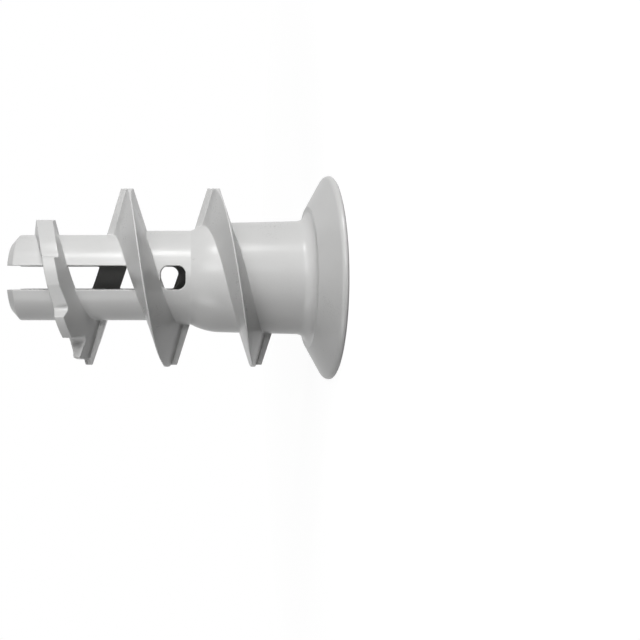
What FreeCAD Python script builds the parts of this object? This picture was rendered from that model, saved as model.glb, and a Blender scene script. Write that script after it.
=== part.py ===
import FreeCAD, Part
import math
import os

# Plasterboard plug with a coarse cutting thread, injection moulded in one piece.
# Millimetres and degrees. The origin is the middle of the head's front face and +Z runs
# to the tip, so the plug stands on its head. The slot through the tip runs along Y.

# Head: a flat front, a short rim and a steep cone on the underside.
plug_length = 22.0
head_diameter = 14.15
head_front_chamfer = 0.1
head_rim_height = 0.345
head_rim_round = 0.35
head_cone_angle = 60.8
head_ledge_height = 1.53

# Stem: drafted body, flare down to a collar, and the slimmer tube of the tip.
body_head_diameter = 7.95
body_flare_diameter = 7.6
neck_fillet = 0.82
flare_radius = 4.5
collar_diameter = 6.57
collar_head_end = 9.65
collar_tip_end = 12.66
tip_diameter = 5.98
tip_chamfer_depth = 0.57
tip_chamfer_height = 0.51

# Hole for the fixing: countersunk mouth, four driver wings, guide bore and slimmer tip bore.
mouth_diameter = 6.6
mouth_depth = 1.15
guide_bore_diameter = 4.2
tip_bore_diameter = 3.2
tip_bore_start = 12.3
bore_step_height = 0.9
tip_bore_mouth = 0.2
wing_count = 4
wing_width = 1.2
wing_first_angle = 45.0
wing_span_at_face = 6.2
wing_span_at_floor = 4.6
wing_depth = 6.5

# Slot through the tip tube, which the flights bridge. The near wall's slot stops under the
# second flight and a window carries it on, and the far wall's slot runs on to its round end.
slot_width = 1.6
slot_corner = 0.55
near_slot_end = 12.4
near_window_low = 10.0
near_window_high = 11.66
far_slot_end = 10.57

# Thread. Each half turn is shaped by one half of the mould.
thread_diameter = 12.44
thread_pitch = 6.0
thread_crest = 0.085
flank_slope = 0.29
flight_inner_radius = 2.8
thread_start_height = 20.07
parting_turn = 5.0
full_half_turns = 4
sections_per_half_turn = 24

# Where a flank leans back from the mould's way out, a plane with draft fills it.
land_at_parting = 0.48
fill_slope = 0.315
fill_draft = 3.0
fill_end_angle = 42.0

# Run-out: the last flight sinks into the body over part of a turn.
runout_full_angle = 40.0
runout_end_angle = 110.0
runout_end_radius = 3.5

# Saw teeth of the lead flight, seen along the axis. The angle runs from the parting plane.
# Each tooth has a crest about the axis, from its tip to its heel, and a gullet after it.
lead_tip_slope = 0.12
lead_tip_land = 0.40
lead_head_fill_slope = 0.25
lead_base_angle = -20.0
lead_land = (4.05, 62.0)
lead_teeth = (
    # gullet radius, gullet angle, gullet round, crest radius, tip angle, heel angle
    (4.08, 66.0, 0.25, 4.80, 68.9, 90.9),
    (4.41, 112.0, 0.30, 5.26, 113.5, 133.7),
    (4.12, 157.9, 0.40, 5.70, 157.1, 200.0),
)

node_name = "plug"
spare = 1.0

axis_z = FreeCAD.Vector(0, 0, 1)
origin = FreeCAD.Vector(0, 0, 0)
thread_radius = thread_diameter / 2
half_pitch = thread_pitch / 2

# What differs between the plain flights and the thinner, sharper lead flight.
plain_form = {"tip_slope": flank_slope, "tip_land": land_at_parting, "head_fill_slope": fill_slope}
lead_form = {
    "tip_slope": lead_tip_slope,
    "tip_land": lead_tip_land,
    "head_fill_slope": lead_head_fill_slope,
}


def polar(radius, angle):
    """Point at an angle from the parting plane, counted the way the thread runs to the head."""
    turned = math.radians(-angle - parting_turn)
    return FreeCAD.Vector(radius * math.cos(turned), radius * math.sin(turned), 0)


def line(start, end):
    return Part.LineSegment(start, end).toShape()


def rounded_wire(corners):
    """Closed wire through the corners, each a point and the radius that rounds it."""
    count = len(corners)
    edges = []
    last_end = None
    first_start = None
    for index, (corner, radius) in enumerate(corners):
        back = (corners[index - 1][0] - corner).normalize()
        ahead = (corners[(index + 1) % count][0] - corner).normalize()
        start = corner
        end = corner
        arc = None
        if radius > 0:
            half_angle = back.getAngle(ahead) / 2
            reach = radius / math.tan(half_angle)
            inward = (back + ahead).normalize()
            middle = corner + inward * (radius / math.sin(half_angle) - radius)
            start = corner + back * reach
            end = corner + ahead * reach
            arc = Part.Arc(start, middle, end).toShape()
        if last_end is None:
            first_start = start
        elif last_end.distanceToPoint(start) > Part.Precision.confusion():
            edges.append(line(last_end, start))
        if arc is not None:
            edges.append(arc)
        last_end = end
    edges.append(line(last_end, first_start))
    return Part.Wire(edges)


def revolved(corners):
    """Solid of revolution about Z from (radius, height, rounding) corners."""
    points = [(FreeCAD.Vector(radius, 0, height), rounding) for radius, height, rounding in corners]
    return Part.Face(rounded_wire(points)).revolve(origin, axis_z, 360)


def stem_and_head():
    head_radius = head_diameter / 2
    ledge_radius = head_radius - math.tan(math.radians(head_cone_angle)) * (
        head_ledge_height - head_rim_height
    )
    flare_drop = (body_flare_diameter - collar_diameter) / 2
    flare_turn = math.acos(1 - flare_drop / flare_radius)
    flare_corner_height = collar_head_end - flare_radius * math.tan(flare_turn / 2) * math.cos(flare_turn)
    return revolved([
        (0, 0, 0),
        (head_radius - head_front_chamfer, 0, 0),
        (head_radius, head_front_chamfer, 0),
        (head_radius, head_rim_height, head_rim_round),
        (ledge_radius, head_ledge_height, 0),
        (body_head_diameter / 2, head_ledge_height, neck_fillet),
        (body_flare_diameter / 2, flare_corner_height, flare_radius),
        (collar_diameter / 2, collar_head_end, 0),
        (collar_diameter / 2, collar_tip_end, 0),
        (tip_diameter / 2, collar_tip_end, 0),
        (tip_diameter / 2, plug_length - tip_chamfer_height, 0),
        (tip_diameter / 2 - tip_chamfer_depth, plug_length, 0),
        (0, plug_length, 0),
    ])


def bore():
    """Through hole, wide at the head and slim at the tip, as one turned core pin."""
    guide_radius = guide_bore_diameter / 2
    tip_radius = tip_bore_diameter / 2
    return revolved([
        (0, -spare, 0),
        (mouth_diameter / 2, -spare, 0),
        (mouth_diameter / 2, 0, 0),
        (guide_radius, mouth_depth, 0),
        (guide_radius, tip_bore_start - bore_step_height, 0),
        (tip_radius, tip_bore_start, 0),
        (tip_radius, plug_length - tip_bore_mouth, 0),
        (tip_radius + tip_bore_mouth, plug_length, 0),
        (tip_radius + tip_bore_mouth, plug_length + spare, 0),
        (0, plug_length + spare, 0),
    ])


def driver_wings():
    """Tapered wings round the bore, which a cross-head driver turns the plug by."""
    half_width = wing_width / 2
    outline = [
        FreeCAD.Vector(0, -half_width, -spare),
        FreeCAD.Vector(wing_span_at_face / 2, -half_width, -spare),
        FreeCAD.Vector(wing_span_at_face / 2, -half_width, 0),
        FreeCAD.Vector(wing_span_at_floor / 2, -half_width, wing_depth),
        FreeCAD.Vector(0, -half_width, wing_depth),
    ]
    face = Part.Face(Part.makePolygon(outline + outline[:1]))
    blade = face.extrude(FreeCAD.Vector(0, wing_width, 0))
    wings = []
    for index in range(wing_count):
        wing = blade.copy()
        wing.rotate(origin, axis_z, wing_first_angle + index * 360 / wing_count)
        wings.append(wing)
    return wings


def wall_cut(side, low, high, low_round, high_round):
    """Opening of the slot's width through the tube wall on the side of that sign along Y."""
    half_width = slot_width / 2
    corners = [
        (FreeCAD.Vector(-half_width, 0, low), low_round),
        (FreeCAD.Vector(half_width, 0, low), low_round),
        (FreeCAD.Vector(half_width, 0, high), high_round),
        (FreeCAD.Vector(-half_width, 0, high), high_round),
    ]
    face = Part.Face(rounded_wire(corners))
    return face.extrude(FreeCAD.Vector(0, side * (body_head_diameter / 2 + spare), 0))


def filled_flank(radius, angle, crest_radius, slope, plane_slope, land):
    """Height of a head-side flank in a half turn whose crest starts at height zero."""
    flank = -thread_pitch * angle / 360 - thread_crest / 2 - slope * (crest_radius - radius)
    if angle > fill_end_angle:
        return flank
    across = radius * math.cos(math.radians(angle))
    towards_mould = radius * math.sin(math.radians(angle))
    fill = thread_crest / 2 - land - plane_slope * (thread_radius - across)
    fill += math.tan(math.radians(fill_draft)) * towards_mould
    return min(flank, fill)


def flight_section(angle, crest_radius, form):
    """Section through the axis. The tip side is a head side turned end for end."""
    def head_side(radius):
        plane_slope = form["head_fill_slope"]
        return filled_flank(radius, angle, crest_radius, flank_slope, plane_slope, land_at_parting)

    def tip_side(radius):
        slope = form["tip_slope"]
        mirrored = filled_flank(radius, 180 - angle, crest_radius, slope, fill_slope, form["tip_land"])
        return -half_pitch - mirrored

    corners = [
        (flight_inner_radius, tip_side(flight_inner_radius)),
        (crest_radius, tip_side(crest_radius)),
        (crest_radius, head_side(crest_radius)),
        (flight_inner_radius, head_side(flight_inner_radius)),
    ]
    points = [polar(radius, angle) + axis_z * height for radius, height in corners]
    return Part.makePolygon(points + points[:1])


def placed(flight, half_turns):
    """Screws a flight down the thread by a number of half turns, towards the head."""
    flight = flight.copy()
    flight.rotate(origin, axis_z, -180 * half_turns)
    flight.translate(FreeCAD.Vector(0, 0, thread_start_height - half_pitch * half_turns))
    return flight


def full_radius(angle):
    return thread_radius


def runout_radius(angle):
    share = (angle - runout_full_angle) / (runout_end_angle - runout_full_angle)
    return thread_radius - max(0, share) * (thread_radius - runout_end_radius)


def loft_flight(form=plain_form, last_angle=180, crest_radius_at=full_radius):
    count = round(sections_per_half_turn * last_angle / 180)
    sections = []
    for index in range(count + 1):
        angle = last_angle * index / count
        sections.append(flight_section(angle, crest_radius_at(angle), form))
    return Part.makeLoft(sections, True)


def axis_arc(radius, first, last):
    return Part.Arc(polar(radius, first), polar(radius, (first + last) / 2), polar(radius, last)).toShape()


def gullet(heel, bottom, tip, radius):
    """Edges from one tooth's heel down to the rounded bottom and up to the next tip."""
    back = (heel - bottom).normalize()
    ahead = (tip - bottom).normalize()
    half_angle = back.getAngle(ahead) / 2
    reach = radius / math.tan(half_angle)
    middle = bottom + (back + ahead).normalize() * (radius / math.sin(half_angle) - radius)
    start = bottom + back * reach
    end = bottom + ahead * reach
    return [line(heel, start), Part.Arc(start, middle, end).toShape(), line(end, tip)]


def lead_profile():
    """Prism along the axis that trims the lead flight to its saw teeth."""
    land_radius, land_end = lead_land
    edges = [axis_arc(land_radius, lead_base_angle, land_end)]
    heel = polar(land_radius, land_end)
    for gullet_radius, gullet_angle, round_radius, crest_radius, tip_angle, heel_angle in lead_teeth:
        tip = polar(crest_radius, tip_angle)
        edges += gullet(heel, polar(gullet_radius, gullet_angle), tip, round_radius)
        edges.append(axis_arc(crest_radius, tip_angle, heel_angle))
        heel = polar(crest_radius, heel_angle)
    edges.append(line(heel, polar(land_radius, lead_base_angle)))
    prism = Part.Face(Part.Wire(edges)).extrude(FreeCAD.Vector(0, 0, plug_length))
    return prism


def thread():
    lead = placed(loft_flight(lead_form), 0)
    plain = loft_flight()
    runout = loft_flight(last_angle=runout_end_angle, crest_radius_at=runout_radius)
    flights = [lead.common(lead_profile())]
    flights += [placed(plain, index + 1) for index in range(full_half_turns)]
    flights.append(placed(runout, full_half_turns + 1))
    return flights


def plug():
    past_tip = plug_length + spare
    cuts = [bore()] + driver_wings()
    cuts.append(wall_cut(-1, near_slot_end, past_tip, 0, 0))
    cuts.append(wall_cut(-1, near_window_low, near_window_high, slot_corner, slot_corner))
    cuts.append(wall_cut(1, far_slot_end, past_tip, slot_corner, 0))
    return stem_and_head().cut(cuts).fuse(thread())


os.makedirs("parts", exist_ok=True)
shape = plug()
print(node_name, "solids", len(shape.Solids), "valid", shape.isValid(), "volume", round(shape.Volume, 2))
print("box", shape.optimalBoundingBox())
shape.exportStep("parts/" + node_name + ".step")
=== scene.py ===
# %% [markdown]
# This lesson dresses a plasterboard plug: one moulding of light grey nylon with a thin cone for a
# head, a body that flares down to a slotted tip, and a coarse thread whose first half turn is cut
# to saw teeth. The frame gives the size and the place. The lesson builds the form again with far
# finer facets, gives it the soft edges of a moulding, and then its finish, light and camera.

# %% Load the frame
import bpy
import bmesh
import math
from mathutils import Matrix, Vector


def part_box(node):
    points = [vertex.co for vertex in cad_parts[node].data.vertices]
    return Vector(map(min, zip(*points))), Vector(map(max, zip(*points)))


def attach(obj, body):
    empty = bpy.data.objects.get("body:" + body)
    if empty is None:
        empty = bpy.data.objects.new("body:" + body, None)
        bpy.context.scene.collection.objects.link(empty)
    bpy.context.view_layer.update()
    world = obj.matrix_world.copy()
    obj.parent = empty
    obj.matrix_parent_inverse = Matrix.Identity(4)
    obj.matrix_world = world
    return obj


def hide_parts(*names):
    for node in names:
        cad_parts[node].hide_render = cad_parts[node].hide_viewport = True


NODE = "plug"
BODY = "root"
MM = 0.001

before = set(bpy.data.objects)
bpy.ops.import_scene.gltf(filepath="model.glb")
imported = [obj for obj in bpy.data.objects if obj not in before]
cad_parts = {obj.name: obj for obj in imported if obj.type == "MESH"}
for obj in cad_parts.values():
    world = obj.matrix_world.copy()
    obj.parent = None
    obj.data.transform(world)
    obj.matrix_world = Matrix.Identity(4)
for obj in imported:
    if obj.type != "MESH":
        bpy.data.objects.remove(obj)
scene = bpy.context.scene
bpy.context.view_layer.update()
lowest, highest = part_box(NODE)
plug_length = highest.z - lowest.z
head_diameter = highest.x - lowest.x
print(f"plug {plug_length / MM:.2f} mm long, head {head_diameter / MM:.2f} mm across")


# %% [markdown]
# Every node tree below is written as arithmetic. A socket is wrapped in a small class, and adding
# or multiplying two of them adds the Math node that does it. The same class serves the geometry
# trees and the materials, so a formula reads the same in both.

# %% Sockets that can be reckoned with
class Value:
    """One socket of a tree, which arithmetic can be written with."""

    def __init__(self, tree, socket):
        self.tree = tree
        self.socket = socket

    def __add__(self, other):
        return self.tree.math("ADD", self, other)

    def __radd__(self, other):
        return self.tree.math("ADD", other, self)

    def __sub__(self, other):
        return self.tree.math("SUBTRACT", self, other)

    def __rsub__(self, other):
        return self.tree.math("SUBTRACT", other, self)

    def __mul__(self, other):
        return self.tree.math("MULTIPLY", self, other)

    def __rmul__(self, other):
        return self.tree.math("MULTIPLY", other, self)

    def __truediv__(self, other):
        return self.tree.math("DIVIDE", self, other)

    def __neg__(self):
        return self.tree.math("MULTIPLY", self, -1)


class Tree:
    """A node tree. One method makes all its nodes."""

    def __init__(self, data):
        self.data = data

    def node(self, kind, settings=None, sockets=None):
        """Adds a node, makes its settings and then fills or links its sockets."""
        made = self.data.nodes.new(kind)
        for name, value in (settings or {}).items():
            setattr(made, name, value)
        for name, value in (sockets or {}).items():
            if isinstance(value, Value):
                self.data.links.new(value.socket, made.inputs[name])
            else:
                made.inputs[name].default_value = value
        return made

    def value(self, kind, settings=None, sockets=None, output=0):
        """The same, for a node of which one output is wanted."""
        return Value(self, self.node(kind, settings, sockets).outputs[output])

    def math(self, operation, *values):
        return self.value("ShaderNodeMath", {"operation": operation}, dict(enumerate(values)))


print("arithmetic on sockets is ready")


# %% [markdown]
# Most of the plug is a turned form: one outline swept round the axis. The outline is a list of
# corners, each with the radius that rounds it, as a mould maker's drawing gives it. A Screw
# modifier could sweep it too, but a short loop keeps the rings in order and needs no seam.

# %% Outline with rounded corners
ROUND_STEP = math.radians(3)


def rounded(corners):
    """Points of a closed outline through the corners, each an (across, along, rounding) in mm."""
    points = [Vector((across, along)) for across, along, _ in corners]
    outline = []
    for index, (corner, (_, _, radius)) in enumerate(zip(points, corners)):
        back = (points[index - 1] - corner).normalized()
        ahead = (points[(index + 1) % len(points)] - corner).normalized()
        if radius == 0:
            outline.append(corner * MM)
            continue
        half_angle = back.angle(ahead) / 2
        centre = corner + (back + ahead).normalized() * radius / math.sin(half_angle)
        start = corner + back * radius / math.tan(half_angle) - centre
        turn = math.pi - 2 * half_angle
        way = 1 if back.cross(ahead) < 0 else -1
        steps = max(2, round(turn / ROUND_STEP))
        for step in range(steps + 1):
            arm = start.copy()
            arm.rotate(Matrix.Rotation(way * turn * step / steps, 2))
            outline.append((centre + arm) * MM)
    return outline


def mesh_object(name, points, faces):
    """Object at the origin with that mesh, its faces turned outwards."""
    data = bpy.data.meshes.new(name)
    data.from_pydata(points, [], faces)
    shape = bmesh.new()
    shape.from_mesh(data)
    bmesh.ops.recalc_face_normals(shape, faces=shape.faces)
    shape.to_mesh(data)
    shape.free()
    made = bpy.data.objects.new(name, data)
    scene.collection.objects.link(made)
    return made


TURNED_STEPS = 360


def turned(name, corners):
    """Closed ring swept round Z by an outline that keeps clear of the axis."""
    outline = rounded(corners)
    count = len(outline)
    points = []
    faces = []
    for step in range(TURNED_STEPS):
        angle = math.tau * step / TURNED_STEPS
        points += [(p.x * math.cos(angle), p.x * math.sin(angle), p.y) for p in outline]
        here = step * count
        after = (step + 1) % TURNED_STEPS * count
        for index in range(count):
            other = (index + 1) % count
            faces.append((here + index, here + other, after + other, after + index))
    return mesh_object(name, points, faces)


# %% [markdown]
# The stem and the head are one turned tube. Outside, from the head to the tip, come the short
# rim, the cone with its ledge and neck, the drafted body, the flare and the collar, then the slim
# tip. Inside, the core pin of the mould leaves a bore that is wide at the head and slim at the
# tip, with a countersunk mouth.

# %% Turned tube
HEAD_RADIUS = head_diameter / 2 / MM
LENGTH = plug_length / MM
RIM_HEIGHT = 0.345
RIM_ROUND = 0.35
CONE_ANGLE = math.radians(60.8)
LEDGE_HEIGHT = 1.53
LEDGE_RADIUS = HEAD_RADIUS - math.tan(CONE_ANGLE) * (LEDGE_HEIGHT - RIM_HEIGHT)
NECK_ROUND = 0.82
BODY_HEAD_RADIUS = 3.975
BODY_FLARE_RADIUS = 3.8
FLARE_ROUND = 4.5
COLLAR_RADIUS = 3.285
COLLAR_HEAD_END = 9.65
COLLAR_TIP_END = 12.66
TIP_RADIUS = 2.99
TIP_CHAMFER = Vector((0.57, 0.51))
GUIDE_BORE_RADIUS = 2.1
TIP_BORE_RADIUS = 1.6
TIP_BORE_START = 12.3
BORE_STEP = 0.9
MOUTH_RADIUS = 3.3
MOUTH_DEPTH = 1.15
SMALL_CHAMFER = 0.1

flare_turn = math.acos(1 - (BODY_FLARE_RADIUS - COLLAR_RADIUS) / FLARE_ROUND)
flare_corner = COLLAR_HEAD_END - FLARE_ROUND * math.tan(flare_turn / 2) * math.cos(flare_turn)
tube = turned("tube", [
    (MOUTH_RADIUS, 0, 0),
    (HEAD_RADIUS - SMALL_CHAMFER, 0, 0),
    (HEAD_RADIUS, SMALL_CHAMFER, 0),
    (HEAD_RADIUS, RIM_HEIGHT, RIM_ROUND),
    (LEDGE_RADIUS, LEDGE_HEIGHT, 0),
    (BODY_HEAD_RADIUS, LEDGE_HEIGHT, NECK_ROUND),
    (BODY_FLARE_RADIUS, flare_corner, FLARE_ROUND),
    (COLLAR_RADIUS, COLLAR_HEAD_END, 0),
    (COLLAR_RADIUS, COLLAR_TIP_END, 0),
    (TIP_RADIUS, COLLAR_TIP_END, 0),
    (TIP_RADIUS, LENGTH - TIP_CHAMFER.y, 0),
    (TIP_RADIUS - TIP_CHAMFER.x, LENGTH, 0),
    (TIP_BORE_RADIUS + 2 * SMALL_CHAMFER, LENGTH, 0),
    (TIP_BORE_RADIUS, LENGTH - 2 * SMALL_CHAMFER, 0),
    (TIP_BORE_RADIUS, TIP_BORE_START, 0),
    (GUIDE_BORE_RADIUS, TIP_BORE_START - BORE_STEP, 0),
    (GUIDE_BORE_RADIUS, MOUTH_DEPTH, 0),
])
print("tube", len(tube.data.vertices), "points")


# %% [markdown]
# The openings are cut into the tube before the thread goes on, because the thread bridges the
# slots. They are the near wall's slot and its window, the far wall's longer slot, and the four
# driver wings at the head. Each cutter is a prism from its outline, and a Boolean modifier takes
# it away. A small helper turns what an object's modifiers make into its plain mesh.

# %% Slots, window and driver wings
def prism(name, outline, along):
    """Closed prism that carries a flat outline of points along a vector."""
    count = len(outline)
    points = list(outline) + [point + along for point in outline]
    faces = [tuple(range(count)), tuple(range(count, 2 * count))]
    faces += [(i, (i + 1) % count, count + (i + 1) % count, count + i) for i in range(count)]
    return mesh_object(name, points, faces)


def settle(thing):
    """Gives the object the mesh that its modifiers make, and takes the modifiers off."""
    depsgraph = bpy.context.evaluated_depsgraph_get()
    made = bpy.data.meshes.new_from_object(thing.evaluated_get(depsgraph))
    thing.modifiers.clear()
    thing.data = made


def combined(target, cutter, operation):
    """Gives the target a Boolean by the cutter, which is used up."""
    modifier = target.modifiers.new(operation, "BOOLEAN")
    modifier.operation = operation
    modifier.solver = "EXACT"
    modifier.object = cutter
    settle(target)
    bpy.data.objects.remove(cutter)


SLOT_HALF_WIDTH = 0.8
SLOT_CORNER = 0.55
NEAR_SLOT_END = 12.4
WINDOW_LOW = 10.0
WINDOW_HIGH = 11.66
FAR_SLOT_END = 10.57
SPARE = 1.0


def cut_wall(side, low, high, low_round, high_round):
    """Cuts an opening of the slot's width through the wall on that side along Y."""
    outline = rounded([
        (-SLOT_HALF_WIDTH, low, low_round),
        (SLOT_HALF_WIDTH, low, low_round),
        (SLOT_HALF_WIDTH, high, high_round),
        (-SLOT_HALF_WIDTH, high, high_round),
    ])
    reach = Vector((0, side * (BODY_HEAD_RADIUS + SPARE) * MM, 0))
    cutter = prism("wall cutter", [Vector((p.x, 0, p.y)) for p in outline], reach)
    combined(tube, cutter, "DIFFERENCE")


WING_COUNT = 4
WING_FIRST_ANGLE = math.radians(45)
WING_WIDTH = 1.2
WING_RADIUS_AT_FACE = 3.1
WING_RADIUS_AT_FLOOR = 2.3
WING_DEPTH = 6.5


def cut_wing(angle):
    """Cuts one tapered wing for the driver into the bore."""
    outward = Vector((math.cos(angle), math.sin(angle), 0))
    sideways = Vector((-math.sin(angle), math.cos(angle), 0))
    corners = [
        (0, -SPARE),
        (WING_RADIUS_AT_FACE, -SPARE),
        (WING_RADIUS_AT_FACE, 0),
        (WING_RADIUS_AT_FLOOR, WING_DEPTH),
        (0, WING_DEPTH),
    ]
    start = sideways * (-WING_WIDTH / 2 * MM)
    outline = [outward * (out * MM) + Vector((0, 0, up * MM)) + start for out, up in corners]
    combined(tube, prism("wing cutter", outline, sideways * WING_WIDTH * MM), "DIFFERENCE")


cut_wall(-1, NEAR_SLOT_END, LENGTH + SPARE, 0, 0)
cut_wall(-1, WINDOW_LOW, WINDOW_HIGH, SLOT_CORNER, SLOT_CORNER)
cut_wall(1, FAR_SLOT_END, LENGTH + SPARE, SLOT_CORNER, 0)
for wing in range(WING_COUNT):
    cut_wing(WING_FIRST_ANGLE + math.tau * wing / WING_COUNT)
print("tube with its openings", len(tube.data.polygons), "faces")


# %% [markdown]
# The thread follows a rule, so Geometry Nodes make it. The mould parts in a plane through the
# axis, and its two halves shape the half turns in turn. Near that plane a plain helical flank
# would lock the plug in the mould, so a plane with draft fills it there, and that fill is the
# flat land seen on every turn. The tree bends a subdivided block into such a half turn: one of
# its directions becomes the angle, the second the radius, and the third chooses between the two
# flanks. Then it sets copies down the thread, each turned by half a turn. They overlap by three
# tenths of a degree, so that no two of their ends lie in one plane.

# %% Tree of a half turn of thread
HALF_TURN = math.pi
OVERLAP = math.radians(0.3)
FLIGHT_SIZES = {
    "Pitch": 6.0 * MM,
    "Thread Radius": 6.22 * MM,
    "Inner Radius": 2.8 * MM,
    "Crest Width": 0.085 * MM,
    "Start Height": 20.07 * MM,
    "Parting Turn": math.radians(5),
    "Head Slope": 0.29,
    "Tip Slope": 0.29,
    "Head Land": 0.48 * MM,
    "Tip Land": 0.48 * MM,
    "Head Fill Slope": 0.315,
    "Tip Fill Slope": 0.315,
    "Fill Draft": math.radians(3),
    "Fill End": math.radians(42),
    "Last Angle": HALF_TURN + OVERLAP,
    "Fade Start": HALF_TURN,
    "Fade End": 2 * HALF_TURN,
    "Fade Radius": 3.5 * MM,
    "First Half Turn": 1,
    "Half Turns": 4,
    "Steps Along": 181,
    "Steps Across": 25,
}


def filled_flank(size, radius, angle, crest_radius, side, start):
    """Height of the head-side flank, counted from the middle of the crest at angle 0."""
    slope = size[side + " Slope"]
    fall = size["Pitch"] * angle / math.tau
    flank = -fall - size["Crest Width"] / 2 - slope * (crest_radius - radius)
    tree = radius.tree
    across = radius * tree.math("COSINE", angle)
    towards_mould = radius * tree.math("SINE", angle)
    fill = size["Crest Width"] / 2 - size[start + " Land"]
    fill = fill - size[start + " Fill Slope"] * (size["Thread Radius"] - across)
    fill = fill + tree.math("TANGENT", size["Fill Draft"]) * towards_mould
    filled = tree.math("MINIMUM", flank, fill)
    near_parting = tree.math("LESS_THAN", angle, size["Fill End"])
    return flank + near_parting * (filled - flank)


def flight_tree():
    group = bpy.data.node_groups.new("half turn of thread", "GeometryNodeTree")
    group.interface.new_socket("Geometry", in_out="OUTPUT", socket_type="NodeSocketGeometry")
    for name, default in FLIGHT_SIZES.items():
        kind = "NodeSocketInt" if isinstance(default, int) else "NodeSocketFloat"
        group.interface.new_socket(name, in_out="INPUT", socket_type=kind).default_value = default
    group.interface.new_socket("Material", in_out="INPUT", socket_type="NodeSocketMaterial")
    tree = Tree(group)
    given = tree.node("NodeGroupInput")
    size = {name: Value(tree, given.outputs[name]) for name in FLIGHT_SIZES}

    block = tree.value("GeometryNodeMeshCube", sockets={
        "Size": (1, 1, 1),
        "Vertices X": size["Steps Along"],
        "Vertices Y": size["Steps Across"],
        "Vertices Z": 2,
    })
    place = tree.node("ShaderNodeSeparateXYZ", sockets={
        "Vector": tree.value("GeometryNodeInputPosition"),
    })
    along, across, side = [Value(tree, output) for output in place.outputs]
    angle = (along + 0.5) * size["Last Angle"]
    faded = (angle - size["Fade Start"]) / (size["Fade End"] - size["Fade Start"])
    faded = tree.math("MAXIMUM", faded, 0)
    crest_radius = size["Thread Radius"] - faded * (size["Thread Radius"] - size["Fade Radius"])
    radius = size["Inner Radius"] + (across + 0.5) * (crest_radius - size["Inner Radius"])
    head_side = filled_flank(size, radius, angle, crest_radius, "Head", "Head")
    turned_over = filled_flank(size, radius, HALF_TURN - angle, crest_radius, "Tip", "Tip")
    tip_side = -size["Pitch"] / 2 - turned_over
    height = head_side + (side + 0.5) * (tip_side - head_side)
    bearing = -angle - size["Parting Turn"]
    bent = tree.value("GeometryNodeSetPosition", sockets={
        "Geometry": block,
        "Position": tree.value("ShaderNodeCombineXYZ", sockets={
            "X": radius * tree.math("COSINE", bearing),
            "Y": radius * tree.math("SINE", bearing),
            "Z": height,
        }),
    })

    first_height = size["Start Height"] - size["First Half Turn"] * size["Pitch"] / 2
    places = tree.value("GeometryNodeMeshLine", sockets={
        "Count": size["Half Turns"],
        "Start Location": tree.value("ShaderNodeCombineXYZ", sockets={"Z": first_height}),
        "Offset": tree.value("ShaderNodeCombineXYZ", sockets={"Z": -size["Pitch"] / 2}),
    })
    half_turn = tree.value("GeometryNodeInputIndex") + size["First Half Turn"]
    copies = tree.value("GeometryNodeInstanceOnPoints", sockets={
        "Points": places,
        "Instance": bent,
        "Rotation": tree.value("FunctionNodeAxisAngleToRotation", sockets={
            "Axis": (0, 0, 1),
            "Angle": half_turn * -HALF_TURN,
        }),
    })
    real = tree.value("GeometryNodeRealizeInstances", sockets={"Geometry": copies})
    finished = tree.value("GeometryNodeSetMaterial", sockets={
        "Geometry": real,
        "Material": Value(tree, given.outputs["Material"]),
    })
    tree.node("NodeGroupOutput", sockets={"Geometry": finished})
    return group


flights = flight_tree()
print("tree", flights.name, "with", len(flights.nodes), "nodes")


# %% [markdown]
# One tree makes the whole thread. Its inputs are set by the socket's identifier before the object
# is first looked at. The plain flights are the tree's own defaults. The lead flight leans less on
# the tip side, and the run-out is a short flight whose crest fades into the body. The lead flight
# is made a little thicker than the solid, because the real one measures thicker, half on each side.

# %% Lead flight, plain flights and run-out
LEAD_EXTRA_WIDTH = 0.14 * MM
LEAD_TIP_SLOPE = 0.12
LEAD_TIP_LAND = 0.40 * MM
LEAD_HEAD_FILL_SLOPE = 0.25
RUNOUT_FADE_START = math.radians(40)
RUNOUT_END = math.radians(110)
material = bpy.data.materials.new("grey nylon")


def flight(name, **changed):
    """Plain mesh object from the tree, with some inputs changed. Names use _ for a space."""
    carrier = mesh_object(name, [], [])
    modifier = carrier.modifiers.new("thread", "NODES")
    modifier.node_group = flights
    wanted = {key.replace("_", " "): value for key, value in changed.items()}
    wanted["Material"] = material
    for socket in flights.interface.items_tree:
        if socket.name in wanted:
            modifier[socket.identifier] = wanted[socket.name]
    settle(carrier)
    print(name, len(carrier.data.polygons), "faces")
    return carrier


lead = flight(
    "lead flight",
    First_Half_Turn=0,
    Half_Turns=1,
    Crest_Width=FLIGHT_SIZES["Crest Width"] + LEAD_EXTRA_WIDTH,
    Tip_Slope=LEAD_TIP_SLOPE,
    Tip_Land=LEAD_TIP_LAND,
    Head_Land=FLIGHT_SIZES["Head Land"] + LEAD_EXTRA_WIDTH / 2,
    Head_Fill_Slope=LEAD_HEAD_FILL_SLOPE,
)
plain = flight("plain flights")
runout = flight(
    "run-out",
    First_Half_Turn=FLIGHT_SIZES["First Half Turn"] + FLIGHT_SIZES["Half Turns"],
    Half_Turns=1,
    Last_Angle=RUNOUT_END,
    Fade_Start=RUNOUT_FADE_START,
    Fade_End=RUNOUT_END,
)


# %% [markdown]
# The lead flight ends in saw teeth that cut the board's paper and plaster. Seen along the axis,
# each tooth is an arc about the axis, and a gullet with a round bottom lies before it. The outline
# is carried along the axis as a prism, and the flight keeps only what lies inside it.

# %% Saw teeth
TOOTH_LAND = (4.05, 62.0)
TOOTH_BASE_ANGLE = -20.0
TEETH = [
    # gullet radius, gullet angle, gullet round, crest radius, tip angle, heel angle
    (4.08, 66.0, 0.25, 4.80, 68.9, 90.9),
    (4.41, 112.0, 0.30, 5.26, 113.5, 133.7),
    (4.12, 157.9, 0.40, 5.70, 157.1, 200.0),
]
ARC_STEP_DEGREES = 1.0


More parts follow.
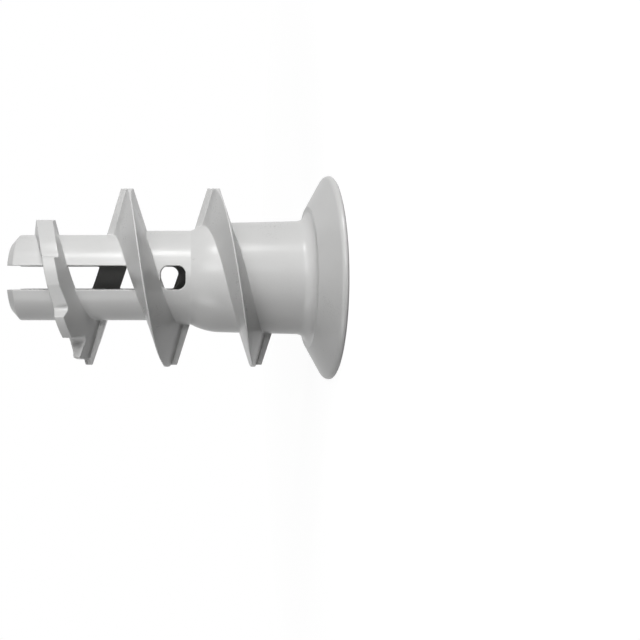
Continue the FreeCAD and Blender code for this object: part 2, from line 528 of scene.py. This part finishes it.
def polar(radius, angle):
    """Corner in mm at an angle in degrees that runs as the thread does."""
    bearing = -math.radians(angle) - FLIGHT_SIZES["Parting Turn"]
    return radius * math.cos(bearing), radius * math.sin(bearing)


def arc(radius, first, last):
    """Corners along an arc about the axis."""
    steps = math.ceil((last - first) / ARC_STEP_DEGREES)
    return [(*polar(radius, first + (last - first) * i / steps), 0) for i in range(steps + 1)]


tooth_corners = arc(TOOTH_LAND[0], TOOTH_BASE_ANGLE, TOOTH_LAND[1])
for gullet_radius, gullet_angle, gullet_round, crest, tip_angle, heel_angle in TEETH:
    tooth_corners.append((*polar(gullet_radius, gullet_angle), gullet_round))
    tooth_corners += arc(crest, tip_angle, heel_angle)
tooth_outline = [Vector((p.x, p.y, 0)) for p in rounded(tooth_corners)]
tooth_prism = prism("teeth", tooth_outline, Vector((0, 0, plug_length)))
combined(lead, tooth_prism, "INTERSECT")
print("lead flight with", len(TEETH), "teeth,", len(lead.data.polygons), "faces")


# %% [markdown]
# Tube and flights are still separate shells that run into each other. A voxel remesh makes one
# watertight skin of them, as melted nylon fills one cavity. A few rounds of smoothing then give
# every edge the small radius that a mould has, which catches the light as a thin pale line. A
# Bevel modifier is held back by the many short edges that the cuts leave. Collapsing edges last
# keeps facets where the form curves and saves them where it is flat. It goes in steps, with a
# light smoothing after each that evens out thin triangles before the next.

# %% One moulding
VOXEL = 0.03 * MM
SMOOTH_ROUNDS = 5
SMOOTH_FACTOR = 0.5
TRIANGLES = 190_000
COLLAPSE_STEPS = 4
RELAX_FACTOR = 0.3


def reshaped(thing, name, kind, **settings):
    """Gives the object one modifier and keeps its result as a plain mesh."""
    modifier = thing.modifiers.new(name, kind)
    for key, value in settings.items():
        setattr(modifier, key, value)
    settle(thing)
    print(name, len(thing.data.polygons), "faces")


shells = bmesh.new()
for part in (tube, lead, plain, runout):
    shells.from_mesh(part.data)
    bpy.data.objects.remove(part)
moulding = mesh_object("moulding", [], [])
shells.to_mesh(moulding.data)
shells.free()
reshaped(moulding, "remesh", "REMESH", mode="VOXEL", voxel_size=VOXEL)
reshaped(moulding, "smooth", "SMOOTH", factor=SMOOTH_FACTOR, iterations=SMOOTH_ROUNDS)
share = TRIANGLES / (2 * len(moulding.data.polygons))
for step in range(COLLAPSE_STEPS):
    reshaped(moulding, "collapse", "DECIMATE", ratio=share ** (1 / COLLAPSE_STEPS))
    reshaped(moulding, "relax", "SMOOTH", factor=RELAX_FACTOR, iterations=1)
moulding.data.shade_smooth()
moulding.data.materials.clear()
moulding.data.materials.append(material)
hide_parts(NODE)
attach(moulding, BODY)


# %% [markdown]
# Moulded nylon is neither glossy nor dull. The mould's spark-eroded skin leaves a satin grain of
# about a tenth of a millimetre, and the melt freezes a little unevenly, which shows as faint
# clouds a few millimetres wide. Two noise textures on object coordinates do both: the clouds vary
# the grey and the gloss, and the grain lifts the surface by a micron or two. An image could do
# the same, but it would need seams, and noise in space has none. The specular level is half of
# the usual one, because the reflected backdrop made the shaded flanks too light.

# %% Grey nylon with a satin grain
LIGHT_NYLON = (0.50, 0.50, 0.496, 1)
DEEP_NYLON = (0.45, 0.45, 0.446, 1)
CLOUD_SIZE = 3.0 * MM
CLOUD_DETAIL = 3.0
GRAIN_SIZE = 0.10 * MM
GRAIN_DETAIL = 2.0
GRAIN_IN_TONE = 0.35
SATIN = 0.30
SATIN_BY_CLOUD = 0.10
SATIN_BY_GRAIN = 0.10
GRAIN_HEIGHT = 0.0025 * MM
NYLON_IOR = 1.53
SPECULAR_LEVEL = 0.25

material.use_nodes = True
material.node_tree.nodes.clear()
nylon = Tree(material.node_tree)
place = nylon.value("ShaderNodeTexCoord", output="Object")
clouds = nylon.value("ShaderNodeTexNoise", sockets={
    "Vector": place,
    "Scale": 1 / CLOUD_SIZE,
    "Detail": CLOUD_DETAIL,
}) - 0.5
grain = nylon.value("ShaderNodeTexNoise", sockets={
    "Vector": place,
    "Scale": 1 / GRAIN_SIZE,
    "Detail": GRAIN_DETAIL,
}) - 0.5
tone = nylon.value("ShaderNodeMix", {"data_type": "RGBA"}, {
    0: clouds + GRAIN_IN_TONE * grain + 0.5,
    6: DEEP_NYLON,
    7: LIGHT_NYLON,
}, output=2)
print("nylon", len(material.node_tree.nodes), "nodes so far")


# %% [markdown]
# The halves of the mould meet in a plane through the axis, the one at which the lands of the
# thread lie. Where they met, the surface keeps a witness line less than a fifth of a millimetre
# wide. Its height is worked out from the distance to that plane and goes into the same bump as
# the grain.

# %% Witness line and shader
WITNESS_HALF_WIDTH = 0.09 * MM
WITNESS_HEIGHT = 0.004 * MM
parting_turn = FLIGHT_SIZES["Parting Turn"]

parting_normal = (math.sin(parting_turn), math.cos(parting_turn), 0)
off_plane = nylon.value("ShaderNodeVectorMath", {"operation": "DOT_PRODUCT"}, {
    0: place,
    1: parting_normal,
}, output="Value")
nearness = 1 - nylon.math("ABSOLUTE", off_plane) / WITNESS_HALF_WIDTH
witness = nylon.math("MAXIMUM", nearness, 0)
bump = nylon.value("ShaderNodeBump", sockets={
    "Height": (grain * GRAIN_HEIGHT + witness * WITNESS_HEIGHT) / MM,
    "Distance": MM,
})
shader = nylon.value("ShaderNodeBsdfPrincipled", sockets={
    "Base Color": tone,
    "Roughness": clouds * SATIN_BY_CLOUD + grain * SATIN_BY_GRAIN + SATIN,
    "IOR": NYLON_IOR,
    "Specular IOR Level": SPECULAR_LEVEL,
    "Normal": bump,
})
nylon.node("ShaderNodeOutputMaterial", sockets={"Surface": shader})
print("nylon", len(material.node_tree.nodes), "nodes")


# %% [markdown]
# The camera looks squarely at the axis from a short distance, with the picture's up along +X and
# its left towards the tip, so the plug lies along the picture although it stands on its head.
# The picture is wider than the view that shows the plug, so the lens is shifted and the
# perspective keeps its centre on the plug.

# %% Camera
PICTURE_SIDE = 640
PIXELS_PER_MM = 14.24
HEAD_FACE_PIXEL_X = 328.3
VIEW_CENTRE_PIXEL = Vector((191.0, 277.65))
DISTANCE_IN_PIXELS = 739.0
SENSOR = 36.0
CLIP_START = 1 * MM
CLIP_END = 10.0

distance = DISTANCE_IN_PIXELS / PIXELS_PER_MM * MM
centre_height = (HEAD_FACE_PIXEL_X - VIEW_CENTRE_PIXEL.x) / PIXELS_PER_MM * MM
camera_data = bpy.data.cameras.new("camera")
camera_data.sensor_width = SENSOR
camera_data.lens = SENSOR * DISTANCE_IN_PIXELS / PICTURE_SIDE
camera_data.shift_x = (PICTURE_SIDE / 2 - VIEW_CENTRE_PIXEL.x) / PICTURE_SIDE
camera_data.shift_y = (VIEW_CENTRE_PIXEL.y - PICTURE_SIDE / 2) / PICTURE_SIDE
camera_data.clip_start = CLIP_START
camera_data.clip_end = CLIP_END
camera = bpy.data.objects.new("camera", camera_data)
camera.matrix_world = Matrix((
    (0, 1, 0, 0),
    (0, 0, -1, -distance),
    (-1, 0, 0, centre_height),
    (0, 0, 0, 1),
))
scene.collection.objects.link(camera)
scene.camera = camera
print(f"camera {distance / MM:.1f} mm from the axis, {centre_height / MM:.2f} mm up")


# %% [markdown]
# The highlights on the body are long and narrow and lie along it, one above and one below the
# middle. Round lamps would leave spots, so the plug is lit by strip lamps that run along its
# axis, some above the view and one below it. Two short lamps nearer to the plug lift the teeth
# and the legs of the tip. A large one behind keeps the far side readable. It is left out of
# reflections, because every outline mirrors what lies straight behind it and would turn white.

# %% Strip lamps
def strip_lamp(name, angle, distance, low, high, width, power, in_gloss):
    """Lamp along the axis from a low to a high place, at an angle up from the viewer's side."""
    data = bpy.data.lights.new(name, "AREA")
    data.shape = "RECTANGLE"
    data.size = (high - low) * MM
    data.size_y = width * MM
    data.energy = power
    along = Vector((0, 0, 1))
    outward = Vector((math.sin(math.radians(angle)), -math.cos(math.radians(angle)), 0))
    across = outward.cross(along)
    middle = (outward * distance + along * (low + high) / 2) * MM
    turn = Matrix((along, across, outward)).transposed().to_4x4()
    lamp = bpy.data.objects.new(name, data)
    lamp.matrix_world = Matrix.Translation(middle) @ turn
    lamp.visible_glossy = in_gloss
    scene.collection.objects.link(lamp)


LAMPS = [
    # name, angle in degrees, distance, low end, high end and width in mm, power in watts, in gloss
    ("upper strip", 60, 90, 3, 30, 10, 0.052, True),
    ("upper front strip", 40, 90, 3, 30, 10, 0.012, True),
    ("front strip", 20, 90, 3, 60, 10, 0.032, True),
    ("lower strip", -60, 90, 5, 125, 10, 0.018, True),
    ("near lamp", 30, 45, 15, 40, 12, 0.0035, True),
    ("lower near lamp", -50, 45, 15, 40, 10, 0.0050, True),
    ("back lamp", 180, 120, 3, 60, 110, 0.045, False),
]
for lamp_row in LAMPS:
    strip_lamp(*lamp_row)
print("lamps", len(bpy.data.lights))


# %% [markdown]
# The backdrop is pure white but must not light the plug, or the dark inside of the slot and the
# shaded flanks would fade. Light Path tells the kinds of ray apart: camera rays, reflections and
# rays that pass through see white, while the rays that carry light see a dim grey. The floor does
# the same, and near the plug a little of its brightness comes from the lamps, so that it keeps a
# soft shadow.

# %% White backdrop and floor
WHITE = (1, 1, 1, 1)
AMBIENT = 0.02
FLOOR_HALF = 0.6
FLOOR_TO_LIGHT = (0.08, 0.08, 0.08, 1)
FLOOR_GLOW = 0.90
FLOOR_SHADE = (0.22, 0.22, 0.22, 1)
SHADOW_REACH = 0.05


def white_to_the_eye(tree, unseen, seen):
    """Mix of two shaders: the first for rays that carry light, the second for what is seen."""
    path = tree.node("ShaderNodeLightPath")
    camera_ray = Value(tree, path.outputs["Is Camera Ray"])
    glossy_ray = Value(tree, path.outputs["Is Glossy Ray"])
    passing_ray = Value(tree, path.outputs["Is Transmission Ray"])
    eye = tree.math("MAXIMUM", tree.math("MAXIMUM", camera_ray, glossy_ray), passing_ray)
    return tree.value("ShaderNodeMixShader", sockets={0: eye, 1: unseen, 2: seen})


world = bpy.data.worlds.new("studio")
world.use_nodes = True
world.node_tree.nodes.clear()
air = Tree(world.node_tree)
dim = air.value("ShaderNodeBackground", sockets={"Color": WHITE, "Strength": AMBIENT})
white = air.value("ShaderNodeBackground", sockets={"Color": WHITE, "Strength": 1.0})
air.node("ShaderNodeOutputWorld", sockets={"Surface": white_to_the_eye(air, dim, white)})
scene.world = world

floor = mesh_object("floor", [
    (-FLOOR_HALF, -FLOOR_HALF, 0),
    (FLOOR_HALF, -FLOOR_HALF, 0),
    (FLOOR_HALF, FLOOR_HALF, 0),
    (-FLOOR_HALF, FLOOR_HALF, 0),
], [(0, 1, 2, 3)])
floor_paint = bpy.data.materials.new("white floor")
floor_paint.use_nodes = True
floor_paint.node_tree.nodes.clear()
paint = Tree(floor_paint.node_tree)
unseen = paint.value("ShaderNodeBsdfDiffuse", sockets={"Color": FLOOR_TO_LIGHT})
glow = paint.value("ShaderNodeEmission", sockets={"Strength": FLOOR_GLOW})
shade = paint.value("ShaderNodeBsdfDiffuse", sockets={"Color": FLOOR_SHADE})
near = paint.value("ShaderNodeAddShader", sockets={0: glow, 1: shade})
plain_white = paint.value("ShaderNodeEmission", sockets={"Strength": 1.0})
reach = paint.value("ShaderNodeVectorMath", {"operation": "LENGTH"}, {
    0: paint.value("ShaderNodeTexCoord", output="Object"),
}, output="Value")
far = paint.math("MINIMUM", reach / SHADOW_REACH, 1)
seen = paint.value("ShaderNodeMixShader", sockets={0: far, 1: near, 2: plain_white})
paint.node("ShaderNodeOutputMaterial", sockets={"Surface": white_to_the_eye(paint, unseen, seen)})
floor.data.materials.append(floor_paint)
scene.view_settings.view_transform = "Standard"
print("floor and backdrop are white to the camera")
